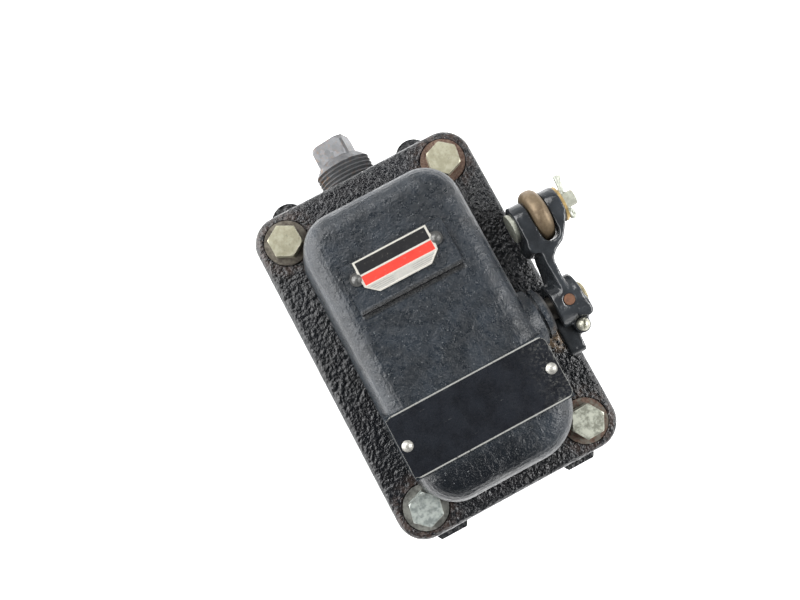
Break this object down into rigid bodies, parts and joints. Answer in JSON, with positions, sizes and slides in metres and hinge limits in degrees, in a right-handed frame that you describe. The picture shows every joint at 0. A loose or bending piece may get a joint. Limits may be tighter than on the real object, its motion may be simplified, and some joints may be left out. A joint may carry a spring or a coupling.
{
  "type": "roller lever limit switch",
  "caption": "Heavy-duty roller lever limit switch: cast-iron base and domed cover, side shaft with a forked lever and roller, sprung contacts inside, plugged conduit entry.",
  "frame": {"origin": "centre of the base's back face", "axes": "+Z out through the cover, +Y toward the conduit plug, +X toward the operating shaft and lever"},
  "size_m": [0.1241, 0.1851, 0.0915],
  "materials": {
    "base_iron": "black enamel over rough cast iron, worn and dusty",
    "cover_iron": "black enamel over rough cast iron, chipped at the edges",
    "bolt_steel": "pale zinc plate, dull",
    "washer_steel": "zinc plate gone brown and grey",
    "plug_steel": "hot-dip galvanised, dull and stained",
    "nameplate_metal": "enamelled plate in plain colour bands",
    "rivet_steel": "bare rivet heads, scratched",
    "lower_plate_metal": "black anodised plate with bare silver lines",
    "shaft_steel": "turned steel, lightly rusted",
    "bushing_brass": "machined",
    "thrust_steel": "bright turned steel",
    "inner_steel": "machined",
    "lever_iron": "black enamel over cast iron, edges worn grey",
    "cross_pin_copper": "copper-coloured pin end",
    "clamp_steel": "zinc plate, scratched",
    "roller_bronze": "oiled bronze, brown",
    "pin_steel": "zinc plate, dull",
    "washer_brass": "dull",
    "cotter_steel": "bright wire",
    "phenolic": "moulded brown phenolic",
    "cap_brass": "sheet",
    "plunger_nylon": "natural",
    "contact_copper": "copper alloy with silver tips",
    "spring_steel": "music wire",
    "terminal_brass": "nickel-washed brass",
    "ground_green": "green ground screw"
  },
  "bodies": {
    "housing": {"base_housing": "base_iron", "cover": "cover_iron", "cover_bolts": "bolt_steel", "cover_washers": "washer_steel", "conduit_plug": "plug_steel", "nameplate": "nameplate_metal", "nameplate_rivets": "rivet_steel", "lower_plate": "lower_plate_metal", "lower_plate_rivets": "rivet_steel", "shaft_bushing": "bushing_brass", "contact_block": "phenolic", "block_screws": "inner_steel", "block_cap": "cap_brass", "cap_screws": "inner_steel", "plunger_spring": "spring_steel", "break_contacts": "contact_copper", "make_contacts": "contact_copper", "terminal_screws": "terminal_brass", "ground_screw": "ground_green"},
    "lever": {"operating_shaft": "shaft_steel", "thrust_washer": "thrust_steel", "shaft_collar": "inner_steel", "collar_screw": "inner_steel", "shaft_cam": "inner_steel", "cam_pin": "inner_steel", "lever_arm": "lever_iron", "lever_cross_pin": "cross_pin_copper", "clamp_screw": "clamp_steel", "roller_pin": "pin_steel", "roller_washer": "washer_brass", "cotter_pin": "cotter_steel"},
    "roller_body": {"roller": "roller_bronze"},
    "plunger": {"contact_plunger": "plunger_nylon", "contact_bridge": "contact_copper", "bridge_clip": "inner_steel"}
  },
  "joints": [
    {"name": "lever_turn", "type": "hinge", "parent": "housing", "child": "lever", "pos_m": [0, -0.0144, 0.071], "axis": [1, 0, 0], "range_deg": [0, 45], "stiffness_Nm_per_rad": 0.15, "springref_deg": -28.65},
    {"name": "roller_spin", "type": "hinge", "parent": "lever", "child": "roller_body", "pos_m": [0.0565, 0.0207, 0.071], "axis": [1, 0, 0], "continuous": true},
    {"name": "plunger_slide", "type": "slide", "parent": "housing", "child": "plunger", "axis": [0, 0, 1], "range_m": [-0.003, 0], "deforming": ["plunger_spring"]}
  ],
  "couplings": [
    {"joint": "plunger_slide", "follows": "lever_turn", "m_per_rad": -0.003819}
  ]
}
